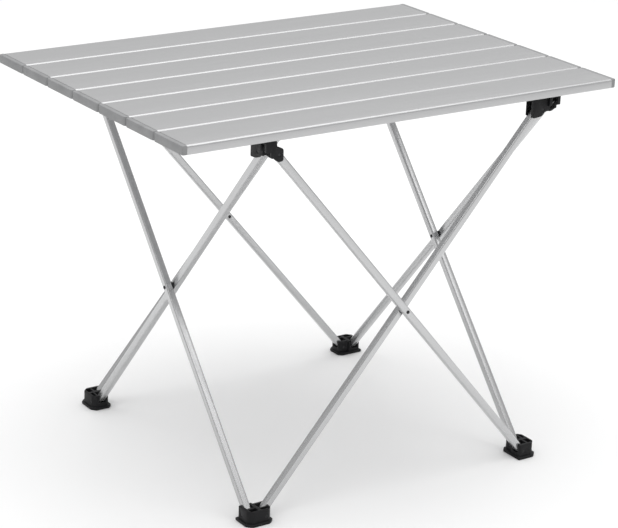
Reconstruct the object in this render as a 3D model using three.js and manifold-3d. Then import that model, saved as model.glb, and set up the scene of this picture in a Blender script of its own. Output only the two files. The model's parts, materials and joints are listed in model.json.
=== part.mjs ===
// Folding camp table: a roll-up top of seven aluminium slats on a frame of four
// scissor crosses. Millimetres, +Z up, X along the slats, the front edge faces -Y.
// The origin is on the floor under the middle of the whole.
import * as THREE from 'three';
import Module from 'manifold-3d';
import { mergeVertices } from 'three/addons/utils/BufferGeometryUtils.js';

const wasm = await Module();
wasm.setup();

// ---- driving dimensions ---------------------------------------------------
const TOP_LENGTH = 560;          // along the slats
const TOP_HEIGHT = 442;          // floor to the upper face
const SLAT_COUNT = 7;
const SLAT_WIDTH = 56.9;
const SLAT_GAP = 0.8;
const SLAT_THICKNESS = 10;
const SLAT_WALL = 1.2;
const SLAT_EDGE = 2.6;           // rounding of the long upper edges
const RIB_OFFSET = 10;           // inner ribs, either side of the slat's middle
const CAP_LENGTH = 5.8;
const CAP_CORNER = 3.2;
const TABLE_CORNER = 2.2;
const CAP_BEVEL = 0.7;
const PLUG_LENGTH = 14;
const PLUG_FIT = 0.3;
const CORD_X = 250;
const CORD_RADIUS = 1.5;
const CORD_HOLE = 2.2;

const FRAME_SHIFT_X = 10;        // the frame's middle, from the tabletop's middle
const FRAME_SHIFT_Y = -5;
const PIN_REACH = 175;           // from the frame's middle to the end pivots
const CROSS_OFFSET = 184;        // from the frame's middle to the plane of a cross
const TUBE_OFFSET = 4.9;         // tube centre, either side of that plane
const HUB_PIN_Z = 416.7;
const FOOT_PIN_Z = 8.8;
const TUBE_SIDE = 8.5;
const TUBE_WALL = 1;
const TUBE_CORNER = 1.7;
const OUTER_TOP_TAIL = 12;       // tube beyond its end pivot
const INNER_TOP_TAIL = 4;
const FOOT_TAIL = 3.5;
const PIN_RADIUS = 1.6;
const PIN_HOLE = 1.9;
const SLOT_FIT = 0.35;           // room round a tube in its slot
const HUB_GAP = 0.3;             // hub top to slat underside
const HUB_FRONT = -21.3;         // outside of the outer socket
const HUB_CHEEK = -13;           // outside of the inner socket
const HUB_WALL = 3;
const HUB_REACH = 13.4;          // inward reach of the inner socket's outer cheek
const HUB_BACK_REACH = 7.5;      // the same for its back cheek
const HUB_ROOF = 2.5;
const HUB_NOTCH = [-10, 3.5];    // x and z of the step under the outer socket's end
const FOOT_HEIGHT = 17.5;
const FLANGE_HEIGHT = 3.4;
const FOOT_OUT = 22;             // foot walls, from the pivot lines
const FOOT_FRONT = 16.5;
const FLANGE_OUT = 24.5;         // long reach of a foot's flange
const FOOT_BEVEL = 0.6;
const FOOT_CORNER = 1.3;
const RIVET_RADIUS = 1.2;
const RIVET_FIT = 0.3;          // room round a rivet and beside its heads
const RIVET_HEAD = 2;
const RIVET_HEAD_HEIGHT = 0.8;
const SPACER_RADIUS = 4.8;
const CURVE_STEPS = 2;           // facets of a rounded corner
const ROD_SIDES = 8;
const FOLD_RANGE = THREE.MathUtils.degToRad(38);

// ---- derived --------------------------------------------------------------
const SLAT_PITCH = SLAT_WIDTH + SLAT_GAP;
const SLAT_LENGTH = TOP_LENGTH - 2 * CAP_LENGTH;
const SLAT_BOTTOM = TOP_HEIGHT - SLAT_THICKNESS;
const ARM = Math.hypot(PIN_REACH, (HUB_PIN_Z - FOOT_PIN_Z) / 2);
const OPEN_ANGLE = Math.asin((HUB_PIN_Z - FOOT_PIN_Z) / 2 / ARM);
const CROSS_Z = (HUB_PIN_Z + FOOT_PIN_Z) / 2;
const HALF = TUBE_SIDE / 2;
const SLOT_HALF = HALF + SLOT_FIT;
const OUTER_PLANE = CROSS_OFFSET + TUBE_OFFSET - PIN_REACH;   // from the pivot lines
const INNER_PLANE = CROSS_OFFSET - TUBE_OFFSET - PIN_REACH;
const TOP_HALF_DEPTH = (SLAT_COUNT * SLAT_PITCH - SLAT_GAP) / 2;
// The front feet reach past the tabletop's front edge, so the model is set back by
// half of that to keep the origin under the middle of the whole.
const SET_BACK = (PIN_REACH + FLANGE_OUT - FRAME_SHIFT_Y - TOP_HALF_DEPTH) / 2;

const CORNERS = ['front_left', 'front_right', 'back_right', 'back_left'];
const SIDES = ['front', 'right', 'back', 'left'];

const paint = (color, roughness, metalness) => (
  () => new THREE.MeshStandardMaterial({ color, roughness, metalness })
);
const slatMetal = paint(0xc3c4c6, 0.42, 0.85);
const tubeMetal = paint(0xdadbdd, 0.3, 0.9);
const capPlastic = paint(0x8f9092, 0.55, 0);
const blackPlastic = paint(0x1d1e20, 0.5, 0);
const blackSteel = paint(0x2a2b2d, 0.4, 0.6);
const cordFabric = paint(0x17181a, 0.9, 0);

// ---- solid helpers --------------------------------------------------------
function solid(geometry) {
  const bare = geometry.clone();
  bare.deleteAttribute('normal');
  bare.deleteAttribute('uv');
  const merged = mergeVertices(bare, 1e-5);
  return new wasm.Manifold(new wasm.Mesh({
    numProp: 3,
    vertProperties: new Float32Array(merged.attributes.position.array),
    triVerts: new Uint32Array(merged.index.array),
  }));
}

function toGeometry(body) {
  const data = body.getMesh();
  const geometry = new THREE.BufferGeometry();
  geometry.setAttribute('position', new THREE.BufferAttribute(data.vertProperties, 3));
  geometry.setIndex(new THREE.BufferAttribute(data.triVerts, 1));
  const flat = geometry.toNonIndexed();
  flat.computeVertexNormals();
  return flat;
}

function mesh(name, body, material) {
  const made = new THREE.Mesh(toGeometry(body), material());
  made.name = name;
  return made;
}

// A closed outline whose corners are rounded; a corner may carry its own radius.
function outline(points, radius) {
  const shape = new THREE.Shape();
  points.forEach((point, i) => {
    const corner = new THREE.Vector2(point[0], point[1]);
    const before = points[(i + points.length - 1) % points.length];
    const after = points[(i + 1) % points.length];
    const back = new THREE.Vector2(before[0], before[1]).sub(corner);
    const ahead = new THREE.Vector2(after[0], after[1]).sub(corner);
    const cut = Math.min(point[2] ?? radius, back.length() * 0.45, ahead.length() * 0.45);
    const start = corner.clone().addScaledVector(back.normalize(), cut);
    const end = corner.clone().addScaledVector(ahead.normalize(), cut);
    if (i === 0) shape.moveTo(start.x, start.y);
    else shape.lineTo(start.x, start.y);
    if (cut > 0) shape.quadraticCurveTo(corner.x, corner.y, end.x, end.y);
  });
  return shape;
}

function extrude(shape, depth, bevel = 0) {
  return new THREE.ExtrudeGeometry(shape, {
    depth: depth - 2 * bevel,
    steps: 1,
    curveSegments: CURVE_STEPS,
    bevelEnabled: bevel > 0,
    bevelThickness: bevel,
    bevelSize: bevel,
    bevelOffset: -bevel,
    bevelSegments: 1,
  }).translate(0, 0, bevel);
}

// An x-z outline extruded from y0 to y1.
function alongY(shape, y0, y1, bevel = 0) {
  return solid(extrude(shape, y1 - y0, bevel).rotateX(Math.PI / 2).translate(0, y1, 0));
}

// A y-z outline extruded from x0 to x1.
function alongX(shape, x0, x1, bevel = 0) {
  const body = extrude(shape, x1 - x0, bevel).rotateX(Math.PI / 2).translate(0, -x0, 0);
  return solid(body.rotateZ(Math.PI / 2));
}

function block(x0, x1, y0, y1, z0, z1) {
  const box = new THREE.BoxGeometry(x1 - x0, y1 - y0, z1 - z0);
  return solid(box.translate((x0 + x1) / 2, (y0 + y1) / 2, (z0 + z1) / 2));
}

// A rod along 'x' or 'y' between two values of that coordinate.
function rod(axis, radius, from, to, at) {
  const body = new THREE.CylinderGeometry(radius, radius, to - from, ROD_SIDES);
  if (axis === 'x') body.rotateZ(Math.PI / 2).translate((from + to) / 2, at[0], at[1]);
  else body.translate(at[0], (from + to) / 2, at[1]);
  return solid(body);
}

// ---- tabletop -------------------------------------------------------------
// The three hollow chambers of a slat, as [from, to] across its width.
function chambers() {
  const side = SLAT_WIDTH / 2 - SLAT_WALL;
  const rib = SLAT_WALL / 2;
  return [
    [-side, -RIB_OFFSET - rib],
    [-RIB_OFFSET + rib, RIB_OFFSET - rib],
    [RIB_OFFSET + rib, side],
  ];
}

function slatBody(number) {
  const half = SLAT_WIDTH / 2;
  const end = SLAT_LENGTH / 2;
  const section = outline([
    [-half, 0, 0.7],
    [half, 0, 0.7],
    [half, SLAT_THICKNESS],
    [-half, SLAT_THICKNESS],
  ], SLAT_EDGE);
  let body = alongX(section, -end, end);
  for (const [y0, y1] of chambers()) {
    const hollow = block(-end - 1, end + 1, y0, y1, SLAT_WALL, SLAT_THICKNESS - SLAT_WALL);
    body = body.subtract(hollow);
  }
  const from = number === 1 ? -half + 3 : -half - 1;
  const to = number === SLAT_COUNT ? half - 3 : half + 1;
  for (const side of [-1, 1]) {
    const at = [side * CORD_X, SLAT_THICKNESS / 2];
    body = body.subtract(rod('y', CORD_HOLE, from, to, at));
  }
  return body;
}

// One end cap, on the +X end: a rounded plate with three plugs that reach into the slat.
function capBody(number, side) {
  const half = SLAT_WIDTH / 2;
  const frontOuter = number === 1 ? TABLE_CORNER : CAP_CORNER;
  const backOuter = number === SLAT_COUNT ? TABLE_CORNER : CAP_CORNER;
  const plan = outline([
    [0, -half],
    [CAP_LENGTH, -half, frontOuter],
    [CAP_LENGTH, half, backOuter],
    [0, half],
  ], 0);
  let body = solid(extrude(plan, SLAT_THICKNESS, CAP_BEVEL));
  const z0 = SLAT_WALL + PLUG_FIT;
  for (const [y0, y1] of chambers()) {
    const plug = block(-PLUG_LENGTH, 2, y0 + PLUG_FIT, y1 - PLUG_FIT, z0, SLAT_THICKNESS - z0);
    body = body.add(plug);
  }
  if (side < 0) body = body.mirror([1, 0, 0]);
  return body;
}

function buildTop() {
  const top = new THREE.Group();
  top.name = 'tabletop';
  const firstY = -(SLAT_COUNT - 1) / 2 * SLAT_PITCH;
  for (let number = 1; number <= SLAT_COUNT; number += 1) {
    const y = firstY + (number - 1) * SLAT_PITCH;
    const slat = mesh(`slat_${number}`, slatBody(number), slatMetal);
    slat.position.set(0, y, SLAT_BOTTOM);
    top.add(slat);
    for (const side of [-1, 1]) {
      const label = side < 0 ? 'left' : 'right';
      const cap = mesh(`end_cap_${label}_${number}`, capBody(number, side), capPlastic);
      cap.position.set(side * (SLAT_LENGTH / 2), y, SLAT_BOTTOM);
      top.add(cap);
    }
  }
  // Elastic cords run inside the slats and end in a knot in the first and last one.
  const reach = -firstY + SLAT_WIDTH / 2;
  const knotAt = reach - 9;
  for (const side of [-1, 1]) {
    const label = side < 0 ? 'left' : 'right';
    let cord = rod('y', CORD_RADIUS, -reach + 4, reach - 4, [0, 0]);
    for (const end of [-1, 1]) {
      cord = cord.add(rod('y', 2.9, end * knotAt - 2.5, end * knotAt + 2.5, [0, 0]));
    }
    const cordMesh = mesh(`elastic_cord_${label}`, cord, cordFabric);
    cordMesh.position.set(side * CORD_X, 0, SLAT_BOTTOM + SLAT_THICKNESS / 2);
    top.add(cordMesh);
  }
  return top;
}

// ---- frame ----------------------------------------------------------------
// Square tube along X, pivot holes at -ARM, 0 and ARM.
function tubeBody(lowTail, highTail) {
  const section = outline([
    [-HALF, -HALF], [HALF, -HALF], [HALF, HALF], [-HALF, HALF],
  ], TUBE_CORNER);
  const bore = HALF - TUBE_WALL;
  const end = ARM + OUTER_TOP_TAIL + 1;
  let body = alongX(section, -ARM - lowTail, ARM + highTail)
    .subtract(block(-end, end, -bore, bore, -bore, bore));
  const holes = [[-ARM, PIN_HOLE], [0, RIVET_RADIUS + RIVET_FIT], [ARM, PIN_HOLE]];
  for (const [x, radius] of holes) {
    body = body.subtract(rod('y', radius, -HALF - 1, HALF + 1, [x, 0]));
  }
  return body;
}

const tailRadius = (tail) => Math.hypot(tail, HALF);

// The room a tube sweeps in a foot (upward) or a hub (downward) as the frame folds:
// it leaves its pivot at OPEN_ANGLE and swings by FOLD_RANGE toward the vertical.
function sweep(tail, up) {
  const round = tailRadius(tail) + SLOT_FIT;
  const far = 45;
  const last = OPEN_ANGLE + FOLD_RANGE;
  const points = [];
  const at = (angle, along, side, offset) => points.push([
    Math.cos(angle) * along + Math.cos(side) * offset,
    up * (Math.sin(angle) * along + Math.sin(side) * offset),
  ]);
  const right = OPEN_ANGLE - Math.PI / 2;
  const left = last - 1.5 * Math.PI;
  const steps = 7;
  at(OPEN_ANGLE, far, right, SLOT_HALF);
  for (let i = 0; i <= steps; i += 1) {
    at(0, 0, right + (left - right) * i / steps, round / Math.cos((right - left) / steps / 2));
  }
  at(last, far, last + Math.PI / 2, SLOT_HALF);
  if (up < 0) points.reverse();
  return outline(points.reverse(), 0);
}

// Corner parts are built with their two pivot lines crossing at the origin: the
// pivot across x is the pin of the tube in the plane y, and the other way round.
function hubBody() {
  const top = SLAT_BOTTOM - HUB_GAP - HUB_PIN_Z;
  const [notchX, notchZ] = HUB_NOTCH;
  const outerSide = outline([
    [-16, top, 0.8], [-3.4, top, 0.8], [-3.2, 9.5, 1], [3.2, 6.8, 1.5], [4.8, 5, 1.5],
    [4.8, -6.8, 1.8], [-1.5, -7.8, 2.5], [-6.5, -3.4, 2], [notchX, -1.4], [notchX, notchZ],
    [-16, notchZ, 1.5],
  ], 1);
  const innerSide = outline([
    [-14, top, 0.8], [HUB_REACH, top, 0.8], [HUB_REACH, -8.6, 1.4], [6, -8, 2],
    [1, -7.4, 3], [-2.5, -2.8, 1.5], [-14, -2, 1],
  ], 1);
  const outerSlot = [-OUTER_PLANE - SLOT_HALF, -OUTER_PLANE + SLOT_HALF];
  const innerSlot = [-INNER_PLANE - SLOT_HALF, -INNER_PLANE + SLOT_HALF];
  const back = innerSlot[1] + HUB_WALL;
  const web = -tailRadius(INNER_TOP_TAIL) - SLOT_FIT;
  const mouth = block(...innerSlot, 3, HUB_REACH + 1, -10, top - HUB_ROOF);
  const shortCheek = block(innerSlot[1], back + 1, HUB_BACK_REACH, HUB_REACH + 1, -10, top + 1);
  const endWindow = block(-17, 0, outerSlot[0] + 1, outerSlot[1] - 1, 1.5, top - HUB_ROOF);
  return alongY(outerSide, HUB_FRONT, web)
    .add(alongX(innerSide, HUB_CHEEK, back))
    .subtract(alongY(sweep(OUTER_TOP_TAIL, -1), ...outerSlot))
    .subtract(endWindow)
    .subtract(alongX(sweep(INNER_TOP_TAIL, -1), ...innerSlot))
    .subtract(mouth)
    .subtract(shortCheek)
    .subtract(rod('y', PIN_HOLE, HUB_FRONT - 1, web + 1, [0, 0]))
    .subtract(rod('x', PIN_HOLE, HUB_CHEEK - 1, back + 1, [0, 0]));
}

function footBody() {
  const flange = outline([
    [-FLANGE_OUT, 8.5], [-FLANGE_OUT, -12.5], [-18.5, -18.7], [3.5, -18.7], [9.7, -13.5], [9.7, 4],
    [5, 8.5],
  ], FOOT_CORNER);
  const walls = outline([
    [-22, 6.5], [-22, -11], [-16.5, -16.5], [2.5, -16.5], [7.5, -12], [7.5, 3.6],
    [-5.9, 3.6], [-5.9, 6.5],
  ], FOOT_CORNER);
  const outerSlot = [-OUTER_PLANE - SLOT_HALF, -OUTER_PLANE + SLOT_HALF];
  const innerSlot = [-INNER_PLANE - SLOT_HALF, -INNER_PLANE + SLOT_HALF];
  const floor = -FOOT_PIN_Z;
  const flangeBody = solid(extrude(flange, FLANGE_HEIGHT, FOOT_BEVEL).translate(0, 0, floor));
  const wallBody = solid(extrude(walls, FOOT_HEIGHT - 1, FOOT_BEVEL).translate(0, 0, floor + 1));
  return flangeBody.add(wallBody)
    .subtract(alongX(sweep(FOOT_TAIL, 1), ...outerSlot))
    .subtract(alongY(sweep(FOOT_TAIL, 1), ...innerSlot))
    .subtract(block(-5.5, 4.5, -14.2, -10.6, -3, FOOT_HEIGHT))
    .subtract(block(-18.5, -9.3, -14.2, -8, -3, FOOT_HEIGHT))
    .subtract(rod('x', PIN_HOLE, -FOOT_OUT - 1, -tailRadius(FOOT_TAIL), [0, 0]))
    .subtract(rod('y', PIN_HOLE, -FOOT_FRONT - 1, 4.6, [0, 0]));
}

// The rivet of a cross, along Y: two low heads and a spacer between the tubes.
function rivetBody() {
  const head = TUBE_OFFSET + HALF + RIVET_FIT;
  const spacer = TUBE_OFFSET - HALF - RIVET_FIT;
  const end = head + RIVET_HEAD_HEIGHT;
  const crown = RIVET_HEAD - 0.5;
  const profile = [
    [0, -end], [crown, -end], [RIVET_HEAD, -end + 0.4], [RIVET_HEAD, -head],
    [RIVET_RADIUS, -head], [RIVET_RADIUS, -spacer], [SPACER_RADIUS, -spacer],
    [SPACER_RADIUS, spacer], [RIVET_RADIUS, spacer], [RIVET_RADIUS, head],
    [RIVET_HEAD, head], [RIVET_HEAD, end - 0.4], [crown, end], [0, end],
  ];
  return solid(new THREE.LatheGeometry(profile.map((p) => new THREE.Vector2(...p)), 12));
}

function buildCorner(name) {
  const corner = new THREE.Group();
  const web = -tailRadius(INNER_TOP_TAIL) - SLOT_FIT;
  const hubParts = [
    mesh(`hub_${name}`, hubBody(), blackPlastic),
    mesh(`hub_pin_outer_${name}`, rod('y', PIN_RADIUS, HUB_FRONT + 0.3, web, [0, 0]), blackSteel),
    mesh(`hub_pin_inner_${name}`, rod('x', PIN_RADIUS, HUB_CHEEK + 0.3,
      -INNER_PLANE + SLOT_HALF + HUB_WALL - 0.3, [0, 0]), blackSteel),
  ];
  const footParts = [
    mesh(`foot_${name}`, footBody(), blackPlastic),
    mesh(`foot_pin_outer_${name}`, rod('x', PIN_RADIUS, -FOOT_OUT + 0.3,
      -tailRadius(FOOT_TAIL) - SLOT_FIT, [0, 0]), blackSteel),
    mesh(`foot_pin_inner_${name}`, rod('y', PIN_RADIUS, -FOOT_FRONT + 0.3, 3.3, [0, 0]),
      blackSteel),
  ];
  for (const part of hubParts) part.position.set(-PIN_REACH, -PIN_REACH, HUB_PIN_Z);
  for (const part of footParts) part.position.set(-PIN_REACH, -PIN_REACH, FOOT_PIN_Z);
  corner.add(...hubParts, ...footParts);
  return corner;
}

// A cross seen from outside: the outer tube falls to the right, the inner one to the left.
function buildCross(name) {
  const cross = new THREE.Group();
  const outer = mesh(`tube_outer_${name}`, tubeBody(OUTER_TOP_TAIL, FOOT_TAIL), tubeMetal);
  outer.position.set(0, -CROSS_OFFSET - TUBE_OFFSET, CROSS_Z);
  outer.rotation.y = OPEN_ANGLE;
  const inner = mesh(`tube_inner_${name}`, tubeBody(FOOT_TAIL, INNER_TOP_TAIL), tubeMetal);
  inner.position.set(0, -CROSS_OFFSET + TUBE_OFFSET, CROSS_Z);
  inner.rotation.y = -OPEN_ANGLE;
  const rivet = mesh(`cross_rivet_${name}`, rivetBody(), blackSteel);
  rivet.position.set(0, -CROSS_OFFSET, CROSS_Z);
  cross.add(outer, inner, rivet);
  return cross;
}

function buildFrame() {
  const frame = new THREE.Group();
  frame.name = 'frame';
  for (let turn = 0; turn < CORNERS.length; turn += 1) {
    const side = new THREE.Group();
    side.add(buildCorner(CORNERS[turn]), buildCross(SIDES[turn]));
    side.rotation.z = turn * Math.PI / 2;
    frame.add(side);
  }
  frame.position.set(FRAME_SHIFT_X, FRAME_SHIFT_Y, 0);
  return frame;
}

const table = new THREE.Group();
table.name = 'folding_table';
table.add(buildTop(), buildFrame());
table.position.y = SET_BACK;

export default table;
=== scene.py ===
import json
import math
from contextlib import contextmanager

import bmesh
import bpy
import numpy as np
from mathutils import Matrix, Vector

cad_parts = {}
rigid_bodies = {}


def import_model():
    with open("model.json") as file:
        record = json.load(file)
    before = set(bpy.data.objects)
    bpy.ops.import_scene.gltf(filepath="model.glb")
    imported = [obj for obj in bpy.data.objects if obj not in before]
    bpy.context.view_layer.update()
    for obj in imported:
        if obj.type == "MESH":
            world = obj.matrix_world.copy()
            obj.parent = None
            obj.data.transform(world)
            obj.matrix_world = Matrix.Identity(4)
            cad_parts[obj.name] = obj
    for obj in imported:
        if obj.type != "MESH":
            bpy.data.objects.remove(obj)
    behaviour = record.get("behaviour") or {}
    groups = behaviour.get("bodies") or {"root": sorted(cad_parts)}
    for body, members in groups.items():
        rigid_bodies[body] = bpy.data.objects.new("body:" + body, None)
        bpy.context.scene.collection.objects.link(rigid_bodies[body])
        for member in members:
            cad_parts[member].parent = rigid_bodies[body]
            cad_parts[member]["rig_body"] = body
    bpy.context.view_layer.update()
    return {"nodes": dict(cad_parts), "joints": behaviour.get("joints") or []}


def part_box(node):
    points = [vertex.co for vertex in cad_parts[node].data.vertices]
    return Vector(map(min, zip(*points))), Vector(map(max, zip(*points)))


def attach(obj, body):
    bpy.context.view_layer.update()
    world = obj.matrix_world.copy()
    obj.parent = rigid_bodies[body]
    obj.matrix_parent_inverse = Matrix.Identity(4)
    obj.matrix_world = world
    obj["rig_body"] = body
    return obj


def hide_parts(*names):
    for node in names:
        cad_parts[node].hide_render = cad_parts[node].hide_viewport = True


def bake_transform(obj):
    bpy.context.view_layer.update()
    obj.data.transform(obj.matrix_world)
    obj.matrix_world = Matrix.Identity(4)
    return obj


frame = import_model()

MM = 0.001
SIDES = ("front", "right", "back", "left")
CORNERS = ("front_left", "front_right", "back_right", "back_left")
SLATS = range(1, 8)

# ---- camera (metres and radians; the _PX values are in an image 618 wide) ---
IMAGE_WIDTH = 618
CAMERA_PLACE = (-1.36085, -2.01126, 1.07913)
YAW, PITCH, ROLL = 0.594005, 0.357575, 0.032748
FOCAL_PX = 2237.8
CENTRE_SHIFT_PX = (-11.26, 29.19)
SENSOR_MM = 36
CLIP = (0.1, 50)


def add_camera():
    """A camera that looks down +Y at yaw 0; yaw turns it toward +X and pitch tips it down."""
    level_share = math.cos(PITCH)
    forward = Vector((math.sin(YAW) * level_share, math.cos(YAW) * level_share, -math.sin(PITCH)))
    level = Vector((math.cos(YAW), -math.sin(YAW), 0))
    above = level.cross(forward)
    right = math.cos(ROLL) * level + math.sin(ROLL) * above
    up = -math.sin(ROLL) * level + math.cos(ROLL) * above
    data = bpy.data.cameras.new("camera")
    data.sensor_width = SENSOR_MM
    data.lens = SENSOR_MM * FOCAL_PX / IMAGE_WIDTH
    data.shift_x = -CENTRE_SHIFT_PX[0] / IMAGE_WIDTH
    data.shift_y = CENTRE_SHIFT_PX[1] / IMAGE_WIDTH
    data.clip_start, data.clip_end = CLIP
    cam = bpy.data.objects.new("camera", data)
    turn = Matrix((right, up, -forward)).transposed().to_4x4()
    cam.matrix_world = Matrix.Translation(CAMERA_PLACE) @ turn
    bpy.context.scene.collection.objects.link(cam)
    bpy.context.scene.camera = cam


# ---- mesh helpers ---------------------------------------------------------
def rounded(points, steps):
    """A closed outline; each point is (x, y, radius) and its corner becomes an arc."""
    out = []
    count = len(points)
    for i, (x, y, radius) in enumerate(points):
        corner = np.array((x, y))
        back = np.array(points[i - 1][:2]) - corner
        ahead = np.array(points[(i + 1) % count][:2]) - corner
        back, ahead = back / np.linalg.norm(back), ahead / np.linalg.norm(ahead)
        half = math.acos(np.clip(back @ ahead, -1, 1)) / 2
        middle = (back + ahead) / np.linalg.norm(back + ahead)
        centre = corner + middle * radius / math.sin(half)
        reach = radius / math.tan(half)
        start = corner + back * reach - centre
        end = corner + ahead * reach - centre
        angle = math.acos(np.clip(start @ end / radius ** 2, -1, 1))
        for k in range(steps + 1):
            t = k / steps
            arm = math.sin((1 - t) * angle) * start + math.sin(t * angle) * end
            out.append(centre + arm / math.sin(angle))
    return out


def circle(radius, count):
    """Pairs (across, up), evenly round a circle."""
    angles = [2 * math.pi * k / count for k in range(count)]
    return [(radius * math.cos(a), radius * math.sin(a)) for a in angles]


@contextmanager
def edited(mesh):
    """Opens a mesh as a bmesh and writes it back."""
    bm = bmesh.new()
    bm.from_mesh(mesh)
    yield bm
    bm.to_mesh(mesh)
    bm.free()


def soften(bm, angle):
    """Shades every face smooth and keeps the edges sharper than the angle, in degrees."""
    for face in bm.faces:
        face.smooth = True
    for edge in bm.edges:
        edge.smooth = len(edge.link_faces) == 2 and edge.calc_face_angle(0) < math.radians(angle)


def mesh_object(name, verts, faces, smooth_angle=40):
    """A mesh object with its normals pointing out."""
    mesh = bpy.data.meshes.new(name)
    mesh.from_pydata([tuple(v) for v in verts], [], faces)
    with edited(mesh) as bm:
        bmesh.ops.recalc_face_normals(bm, faces=bm.faces)
        soften(bm, smooth_angle)
    obj = bpy.data.objects.new(name, mesh)
    bpy.context.scene.collection.objects.link(obj)
    return obj


def hollow_bar(name, outer, inner, x0, x1):
    """A bar along X with a bore: outer and inner are y-z outlines, point for point."""
    count = len(outer)
    near_out, near_in, far_out, far_in = 0, count, 2 * count, 3 * count
    verts = [(x, y, z) for x in (x0, x1) for outline in (outer, inner) for y, z in outline]
    faces = []
    for i in range(count):
        j = (i + 1) % count
        faces.append((near_out + i, near_out + j, far_out + j, far_out + i))
        faces.append((near_in + j, near_in + i, far_in + i, far_in + j))
        faces.append((near_out + j, near_out + i, near_in + i, near_in + j))
        faces.append((far_out + i, far_out + j, far_in + j, far_in + i))
    return mesh_object(name, verts, faces)


def lofted(name, rings, smooth_angle=40):
    """A solid through rings with the same number of points, with flat ends."""
    count = len(rings[0])
    verts = [point for ring in rings for point in ring]
    last = len(verts) - count
    faces = []
    for a in range(0, last, count):
        b = a + count
        for i in range(count):
            j = (i + 1) % count
            faces.append((a + i, a + j, b + j, b + i))
    faces.append(tuple(range(count - 1, -1, -1)))
    faces.append(tuple(range(last, len(verts))))
    return mesh_object(name, verts, faces, smooth_angle)


def turned(name, profile, segments):
    """A solid of revolution about Y; the profile is (radius, y) and starts and ends on the axis."""
    verts, faces, rings = [], [], []
    for radius, y in profile:
        points = circle(radius, segments) if radius > 0 else [(0, 0)]
        rings.append(range(len(verts), len(verts) + len(points)))
        verts += [(x, y, z) for x, z in points]
    for a, b in zip(rings, rings[1:]):
        for k in range(segments):
            j = (k + 1) % segments
            if len(a) == 1:
                faces.append((a[0], b[k], b[j]))
            elif len(b) == 1:
                faces.append((a[k], a[j], b[0]))
            else:
                faces.append((a[k], a[j], b[j], b[k]))
    return mesh_object(name, verts, faces)


def bake(obj):
    """Applies the modifiers of obj to its mesh."""
    bpy.context.view_layer.update()
    shown = obj.evaluated_get(bpy.context.evaluated_depsgraph_get())
    mesh = bpy.data.meshes.new_from_object(shown)
    obj.modifiers.clear()
    obj.data = mesh


def cut_away(obj, cutter):
    """Takes cutter out of obj and removes the cutter."""
    modifier = obj.modifiers.new("cut", "BOOLEAN")
    modifier.operation = "DIFFERENCE"
    modifier.solver = "EXACT"
    modifier.object = cutter
    bake(obj)
    bpy.data.objects.remove(cutter)


def on_side(centre, turn):
    """A place on one side of the table: turn counts quarter turns from the front."""
    return Matrix.Translation(centre) @ Matrix.Rotation(turn * math.pi / 2, 4, "Z")


def finish_piece(obj, node, material):
    """Gives obj its material and puts it in the place of a CAD node, on that node's body."""
    obj.data.materials.clear()
    obj.data.materials.append(material)
    bpy.context.view_layer.update()
    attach(obj, frame["nodes"][node]["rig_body"])
    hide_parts(node)


# ---- materials ------------------------------------------------------------
NOISE_RANGE = (0.3, 0.7)     # the values between which most noise lies
EVEN = (1, 1, 1)             # noise that isn't stretched


def new_material(name, color, roughness, metallic, specular=0.5):
    material = bpy.data.materials.new(name)
    material.use_nodes = True
    shader = material.node_tree.nodes["Principled BSDF"]
    shader.inputs["Base Color"].default_value = (*color, 1)
    shader.inputs["Roughness"].default_value = roughness
    shader.inputs["Metallic"].default_value = metallic
    shader.inputs["Specular IOR Level"].default_value = specular
    return material, material.node_tree, shader


def noise(tree, stretch=EVEN, scale=1.0, detail=3.0):
    """Noise in the piece's own coordinates, stretched by a scale for each axis."""
    place = tree.nodes.new("ShaderNodeTexCoord")
    mapping = tree.nodes.new("ShaderNodeMapping")
    mapping.inputs["Scale"].default_value = stretch
    texture = tree.nodes.new("ShaderNodeTexNoise")
    texture.inputs["Scale"].default_value = scale
    texture.inputs["Detail"].default_value = detail
    tree.links.new(place.outputs["Object"], mapping.inputs["Vector"])
    tree.links.new(mapping.outputs["Vector"], texture.inputs["Vector"])
    return texture.outputs["Fac"]


def vary(tree, value, socket, low, high):
    """Drives a socket from low to high, two colours, as a noise value goes over its range."""
    node = tree.nodes.new("ShaderNodeValToRGB")
    for element, position, color in zip(node.color_ramp.elements, NOISE_RANGE, (low, high)):
        element.position = position
        element.color = (*color, 1)
    tree.links.new(value, node.inputs["Fac"])
    tree.links.new(node.outputs["Color"], socket)


def vary_roughness(tree, value, shader, low, high):
    vary(tree, value, shader.inputs["Roughness"], (low,) * 3, (high,) * 3)


def bump(tree, shader, height, distance, strength, below=None):
    """Bump from a height; below is the normal of a bump that this one is added to."""
    node = tree.nodes.new("ShaderNodeBump")
    node.inputs["Strength"].default_value = strength
    node.inputs["Distance"].default_value = distance
    tree.links.new(height, node.inputs["Height"])
    if below is not None:
        tree.links.new(below, node.inputs["Normal"])
    tree.links.new(node.outputs["Normal"], shader.inputs["Normal"])
    return node.outputs["Normal"]


def slat_material():
    material, tree, shader = new_material("slat_aluminium", (0.53, 0.532, 0.537), 0.36, 0.8)
    grain = noise(tree, stretch=(6, 900, 900), detail=4)
    vary(tree, grain, shader.inputs["Base Color"], (0.52, 0.522, 0.527), (0.54, 0.542, 0.547))
    vary_roughness(tree, grain, shader, 0.33, 0.4)
    fine = bump(tree, shader, grain, distance=0.03 * MM, strength=0.4)
    speck = noise(tree, scale=2600, detail=2)
    bump(tree, shader, speck, distance=0.02 * MM, strength=0.4, below=fine)
    return material


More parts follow.
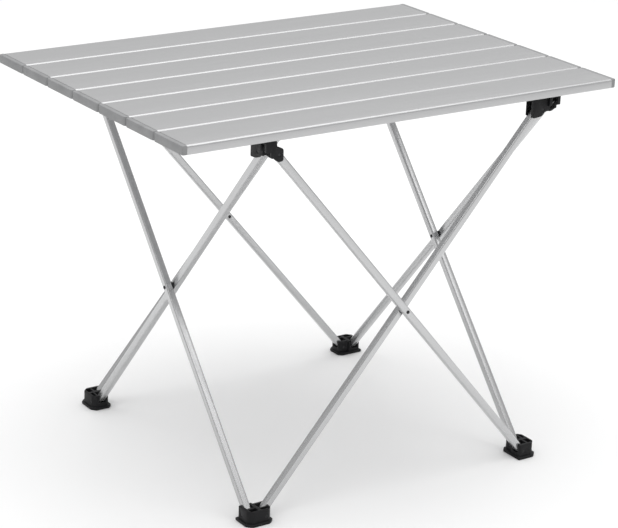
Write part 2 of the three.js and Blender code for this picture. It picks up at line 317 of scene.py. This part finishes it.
def tube_material():
    material, tree, shader = new_material("tube_aluminium", (0.53, 0.532, 0.537), 0.24, 0.85)
    grain = noise(tree, stretch=(10, 1500, 1500), detail=4)
    cloud = noise(tree, stretch=(3, 40, 40))
    vary(tree, cloud, shader.inputs["Base Color"], (0.51, 0.512, 0.517), (0.55, 0.553, 0.558))
    vary_roughness(tree, grain, shader, 0.2, 0.28)
    bump(tree, shader, grain, distance=0.01 * MM, strength=0.3)
    return material


def cap_material():
    material, tree, shader = new_material("grey_plastic", (0.26, 0.262, 0.266), 0.55, 0)
    cloud = noise(tree, scale=60)
    speck = noise(tree, scale=1800, detail=2)
    vary(tree, cloud, shader.inputs["Base Color"], (0.235, 0.237, 0.241), (0.285, 0.287, 0.291))
    vary_roughness(tree, speck, shader, 0.48, 0.64)
    bump(tree, shader, speck, distance=0.06 * MM, strength=0.6)
    return material


def black_material():
    material, tree, shader = new_material("black_plastic", (0.009, 0.009, 0.01), 0.5, 0, 0.2)
    cloud = noise(tree, scale=90)
    speck = noise(tree, scale=1400)
    vary(tree, cloud, shader.inputs["Base Color"], (0.007, 0.007, 0.008), (0.012, 0.012, 0.013))
    vary_roughness(tree, speck, shader, 0.38, 0.58)
    bump(tree, shader, speck, distance=0.12 * MM, strength=0.7)
    return material


def steel_material():
    material, tree, shader = new_material("black_steel", (0.035, 0.035, 0.037), 0.38, 0.7)
    speck = noise(tree, scale=900)
    vary(tree, speck, shader.inputs["Base Color"], (0.025, 0.025, 0.027), (0.05, 0.05, 0.052))
    vary_roughness(tree, speck, shader, 0.3, 0.46)
    return material


def cord_material():
    material, tree, shader = new_material("cord", (0.014, 0.014, 0.015), 0.85, 0)
    place = tree.nodes.new("ShaderNodeTexCoord")
    wave = tree.nodes.new("ShaderNodeTexWave")
    wave.inputs["Scale"].default_value = 700
    wave.inputs["Distortion"].default_value = 1.5
    tree.links.new(place.outputs["Object"], wave.inputs["Vector"])
    braid = wave.outputs["Fac"]
    vary(tree, braid, shader.inputs["Base Color"], (0.009, 0.009, 0.01), (0.024, 0.024, 0.026))
    bump(tree, shader, braid, distance=0.2 * MM, strength=0.8)
    return material


# ---- tabletop -------------------------------------------------------------
SLAT_WALL = 1.2 * MM
SLAT_EDGE, SLAT_FOOT = 2.6 * MM, 0.8 * MM
SMALLEST_RADIUS = 0.3 * MM
CORD_RADIUS = 1.5 * MM
CORD_HOLE = 2.2 * MM
CAP_PLATE = 5.8 * MM
CAP_ROUND = 0.9 * MM
TABLE_CORNER = 2.2 * MM      # a cap's corner at the front or back edge of the top
CAP_CORNER = 3.2 * MM        # a cap's corner where it meets the next cap


def slat_outline(width, height, inset=0.0):
    """A slat's section: the upper edges are rounder than the lower ones."""
    half, low, high = width / 2 - inset, inset, height - inset
    edge = max(SLAT_EDGE - inset, SMALLEST_RADIUS)
    foot = max(SLAT_FOOT - inset, SMALLEST_RADIUS)
    return rounded([(-half, low, foot), (half, low, foot), (half, high, edge), (-half, high, edge)],
                   steps=6)


def add_slats(material):
    """Hollow slats, drilled from joint to joint for the two cords."""
    past = 1 * MM
    for n in SLATS:
        node = f"slat_{n}"
        low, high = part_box(node)
        middle = (low.y + high.y) / 2
        width, height = high.y - low.y, high.z - low.z
        slat = hollow_bar(f"slat_shell_{n}", slat_outline(width, height),
                          slat_outline(width, height, SLAT_WALL), low.x, high.x)
        slat.data.transform(Matrix.Translation((0, middle, low.z)))
        first = low.y - past if n > SLATS[0] else middle
        last = high.y + past if n < SLATS[-1] else middle
        for side in ("left", "right"):
            cord_low, cord_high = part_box(f"elastic_cord_{side}")
            at = (cord_low + cord_high) / 2
            drill = turned("drill", [(0, first), (CORD_HOLE, first), (CORD_HOLE, last), (0, last)],
                           segments=20)
            drill.location = (at.x, 0, at.z)
            cut_away(slat, drill)
        finish_piece(slat, node, material)


def add_caps(material):
    """Moulded caps: a plate with rounded edges over each end of a slat."""
    knee = 0.3 * CAP_ROUND
    for n in SLATS:
        front = TABLE_CORNER if n == SLATS[0] else CAP_CORNER
        back = TABLE_CORNER if n == SLATS[-1] else CAP_CORNER
        for side, sign in (("left", -1), ("right", 1)):
            node = f"end_cap_{side}_{n}"
            low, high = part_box(node)
            outer_x = high.x if sign > 0 else -low.x
            inner_x = outer_x - CAP_PLATE
            plan = rounded([(inner_x, low.y, SMALLEST_RADIUS), (outer_x, low.y, front),
                            (outer_x, high.y, back), (inner_x, high.y, SMALLEST_RADIUS)], steps=8)
            centre = np.mean(plan, axis=0)
            span = np.array((CAP_PLATE / 2, (high.y - low.y) / 2))
            rings = []
            for z, inset in ((low.z, CAP_ROUND), (low.z + knee, knee), (low.z + CAP_ROUND, 0),
                             (high.z - CAP_ROUND, 0), (high.z - knee, knee), (high.z, CAP_ROUND)):
                ring = [centre + (point - centre) * (span - inset) / span for point in plan]
                rings.append([(sign * x, y, z) for x, y in ring])
            cap = lofted(f"end_cap_shell_{side}_{n}", rings)
            finish_piece(cap, node, material)


def add_cords(material):
    """Elastic cord in straight lengths, finely divided where they cross each joint between two
    slats.
    """
    bend, fine_part, fine_steps = 5 * MM, 6 * MM, 25
    for side in ("left", "right"):
        node = f"elastic_cord_{side}"
        low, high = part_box(node)
        at_x, at_z = (low.x + high.x) / 2, (low.z + high.z) / 2
        section = [(at_x + across, at_z + up) for across, up in circle(CORD_RADIUS, 10)]
        for n in SLATS[:-1]:
            here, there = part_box(f"slat_{n}"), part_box(f"slat_{n + 1}")
            gap = (here[1].y + there[0].y) / 2
            start = low.y if n == SLATS[0] else (here[0].y + here[1].y) / 2
            end = high.y if n + 1 == SLATS[-1] else (there[0].y + there[1].y) / 2
            stations = [start, *(np.linspace(-fine_part, fine_part, fine_steps) + gap), end]
            rings = [[(x, y, z) for x, z in section] for y in stations]
            cord = lofted(f"cord_{side}_{n}", rings, smooth_angle=60)
            cord.data.materials.append(material)
            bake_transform(cord)
            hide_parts(node)


# ---- frame ----------------------------------------------------------------
TUBE_HALF, TUBE_WALL, TUBE_EDGE = 4.25 * MM, 1.0 * MM, 1.7 * MM
TUBE_OFFSET = 4.9 * MM       # a tube's middle from the plane between the tubes of its cross
FOOT_TAIL, OUTER_TOP_TAIL, INNER_TOP_TAIL = 3.5 * MM, 12 * MM, 4 * MM    # past the pivots
MOULDING_RADIUS = 0.5 * MM


def pivot(name):
    """Where a joint of the record is."""
    return Vector(next(j for j in frame["joints"] if j["name"] == name)["pos_m"])


def square(half, radius):
    return rounded([(-half, -half, radius), (half, -half, radius), (half, half, radius),
                    (-half, half, radius)], steps=5)


def add_tubes(material):
    """Square tubes with rounded edges, drawn along X and tilted about the middle of their cross."""
    outer = square(TUBE_HALF, TUBE_EDGE)
    inner = square(TUBE_HALF - TUBE_WALL, TUBE_EDGE - TUBE_WALL)
    along = pivot("hub_front_right_pivot") - pivot("fold")
    slope = math.atan2(along.z, along.x)
    arm = math.hypot(along.z, along.x) / 2
    for turn, side in enumerate(SIDES):
        for kind, sign, low_tail, high_tail in (("outer", 1, OUTER_TOP_TAIL, FOOT_TAIL),
                                                ("inner", -1, FOOT_TAIL, INNER_TOP_TAIL)):
            tube = hollow_bar(f"tube_shell_{kind}_{side}", outer, inner,
                              -arm - low_tail, arm + high_tail)
            tube.matrix_world = (on_side(pivot(f"cross_{side}"), turn)
                                 @ Matrix.Translation((0, -sign * TUBE_OFFSET, 0))
                                 @ Matrix.Rotation(sign * slope, 4, "Y"))
            finish_piece(tube, f"tube_{kind}_{side}", material)


def add_rivets(material):
    """A rivet through each cross, with a domed head on each side and a spacer in the middle."""
    under_head, shaft = 9.45 * MM, 1.2 * MM
    dome_mm = ((0, 0.8), (0.9, 0.75), (1.5, 0.55), (1.9, 0.2), (2.0, 0))
    spacer_half, spacer_flat, spacer_radius = 0.35 * MM, 4.5 * MM, 4.8 * MM
    profile = [(radius * MM, -under_head - height * MM) for radius, height in dome_mm]
    profile += [(shaft, -under_head), (shaft, -spacer_half), (spacer_flat, -spacer_half),
                (spacer_radius, -0.6 * spacer_half)]
    profile += [(radius, -y) for radius, y in reversed(profile)]
    for turn, side in enumerate(SIDES):
        node = f"cross_rivet_{side}"
        low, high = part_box(node)
        rivet = turned(f"rivet_{side}", profile, segments=32)
        rivet.matrix_world = on_side((low + high) / 2, turn)
        finish_piece(rivet, node, material)


def add_moulding(node, name, material):
    """A copy of a CAD node with its edges rounded as a moulding's are."""
    same_place, flat, sharp, smooth = 1e-6, math.radians(1), math.radians(28), 35
    obj = bpy.data.objects.new(name, frame["nodes"][node].data.copy())
    bpy.context.scene.collection.objects.link(obj)
    with edited(obj.data) as bm:
        bmesh.ops.remove_doubles(bm, verts=bm.verts, dist=same_place)
        bmesh.ops.dissolve_limit(bm, angle_limit=flat, verts=bm.verts, edges=bm.edges)
    rounding = obj.modifiers.new("rounding", "BEVEL")
    rounding.width = MOULDING_RADIUS
    rounding.segments = 3
    rounding.limit_method = "ANGLE"
    rounding.angle_limit = sharp
    bake(obj)
    with edited(obj.data) as bm:
        soften(bm, smooth)
    finish_piece(obj, node, material)


def add_hubs_and_feet(plastic, steel):
    """Hubs and feet with rounded edges; their pins are the CAD's own, in steel."""
    for corner in CORNERS:
        for part in ("hub", "foot"):
            add_moulding(f"{part}_{corner}", f"{part}_shell_{corner}", plastic)
        for pin in ("hub_pin_outer", "hub_pin_inner", "foot_pin_outer", "foot_pin_inner"):
            pin_mesh = frame["nodes"][f"{pin}_{corner}"].data
            pin_mesh.materials.clear()
            pin_mesh.materials.append(steel)


# ---- scene ----------------------------------------------------------------
FLOOR_HALF = 30
WORLD_STRENGTH = 0.6
SOFTBOX_PLACE, SOFTBOX_TARGET = Vector((0.1, 0, 3.2)), Vector((0.1, 0, 0))
SOFTBOX_SIZE, SOFTBOX_POWER = 5.0, 120


def add_floor():
    material, tree, shader = new_material("floor", (0.94, 0.94, 0.94), 0.9, 0, 0)
    cloud = noise(tree, scale=3, detail=2)
    vary(tree, cloud, shader.inputs["Base Color"], (0.935, 0.935, 0.935), (0.945, 0.945, 0.945))
    floor = mesh_object("floor", [(-FLOOR_HALF, -FLOOR_HALF, 0), (FLOOR_HALF, -FLOOR_HALF, 0),
                                  (FLOOR_HALF, FLOOR_HALF, 0), (-FLOOR_HALF, FLOOR_HALF, 0)],
                        [(0, 1, 2, 3)])
    floor.data.materials.append(material)


def add_lights():
    """Even white surroundings and one square softbox overhead."""
    world = bpy.data.worlds.new("world")
    world.use_nodes = True
    background = world.node_tree.nodes["Background"]
    background.inputs["Color"].default_value = (1, 1, 1, 1)
    background.inputs["Strength"].default_value = WORLD_STRENGTH
    bpy.context.scene.world = world
    data = bpy.data.lights.new("softbox", "AREA")
    data.shape = "RECTANGLE"
    data.size = data.size_y = SOFTBOX_SIZE
    data.energy = SOFTBOX_POWER
    light = bpy.data.objects.new("softbox", data)
    light.location = SOFTBOX_PLACE
    light.rotation_mode = "QUATERNION"
    light.rotation_quaternion = (SOFTBOX_TARGET - SOFTBOX_PLACE).to_track_quat("-Z", "Y")
    bpy.context.scene.collection.objects.link(light)
    bpy.context.scene.view_settings.view_transform = "Standard"


add_camera()
black_steel = steel_material()
add_slats(slat_material())
add_caps(cap_material())
add_cords(cord_material())
add_tubes(tube_material())
add_rivets(black_steel)
add_hubs_and_feet(black_material(), black_steel)
add_floor()
add_lights()

bpy.context.view_layer.update()
